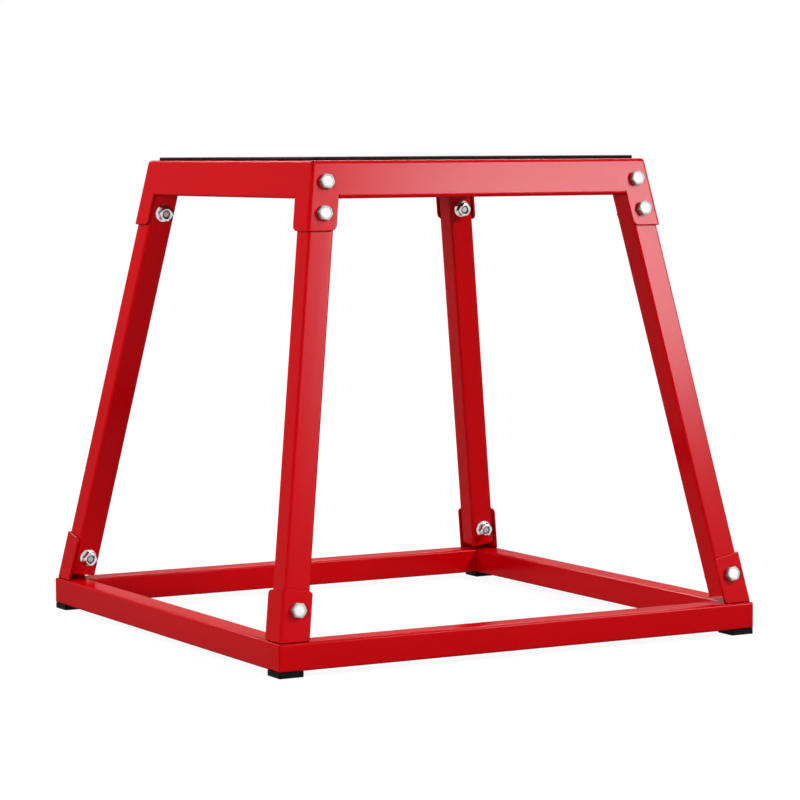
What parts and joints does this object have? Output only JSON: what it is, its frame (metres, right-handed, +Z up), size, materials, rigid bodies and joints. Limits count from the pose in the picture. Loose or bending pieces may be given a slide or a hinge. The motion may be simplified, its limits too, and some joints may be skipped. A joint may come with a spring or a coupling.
{
  "type": "plyo box",
  "caption": "Open steel plyo box: square folded tray with anti-slip mat on splayed square-tube legs, bolted to a wider square base on rubber feet.",
  "frame": {"origin": "on the floor under the centre of the box", "axes": "+Z up; +X along the front rail from left to right; +Y from the front to the rear; bolt heads face -Y and +Y"},
  "size_m": [0.508, 0.508, 0.4572],
  "materials": {
    "red_powder_coat": "glossy powder coat",
    "zinc_plate": "bright zinc plate",
    "rubber_mat": "matte textured rubber",
    "rubber_foot": "matte moulded rubber"
  },
  "bodies": {
    "root": {"top_tray": "red_powder_coat", "top_mat": "rubber_mat", "front_rail": "red_powder_coat", "right_rail": "red_powder_coat", "rear_rail": "red_powder_coat", "left_rail": "red_powder_coat", "front_left_leg": "red_powder_coat", "front_left_bracket": "red_powder_coat", "front_left_foot": "rubber_foot", "front_left_upper_bolt": "zinc_plate", "front_left_upper_nut": "zinc_plate", "front_left_middle_bolt": "zinc_plate", "front_left_middle_nut": "zinc_plate", "front_left_lower_bolt": "zinc_plate", "front_left_lower_nut": "zinc_plate", "front_right_leg": "red_powder_coat", "front_right_bracket": "red_powder_coat", "front_right_foot": "rubber_foot", "front_right_upper_bolt": "zinc_plate", "front_right_upper_nut": "zinc_plate", "front_right_middle_bolt": "zinc_plate", "front_right_middle_nut": "zinc_plate", "front_right_lower_bolt": "zinc_plate", "front_right_lower_nut": "zinc_plate", "rear_left_leg": "red_powder_coat", "rear_left_bracket": "red_powder_coat", "rear_left_foot": "rubber_foot", "rear_left_upper_bolt": "zinc_plate", "rear_left_upper_nut": "zinc_plate", "rear_left_middle_bolt": "zinc_plate", "rear_left_middle_nut": "zinc_plate", "rear_left_lower_bolt": "zinc_plate", "rear_left_lower_nut": "zinc_plate", "rear_right_leg": "red_powder_coat", "rear_right_bracket": "red_powder_coat", "rear_right_foot": "rubber_foot", "rear_right_upper_bolt": "zinc_plate", "rear_right_upper_nut": "zinc_plate", "rear_right_middle_bolt": "zinc_plate", "rear_right_middle_nut": "zinc_plate", "rear_right_lower_bolt": "zinc_plate", "rear_right_lower_nut": "zinc_plate"}
  },
  "joints": []
}
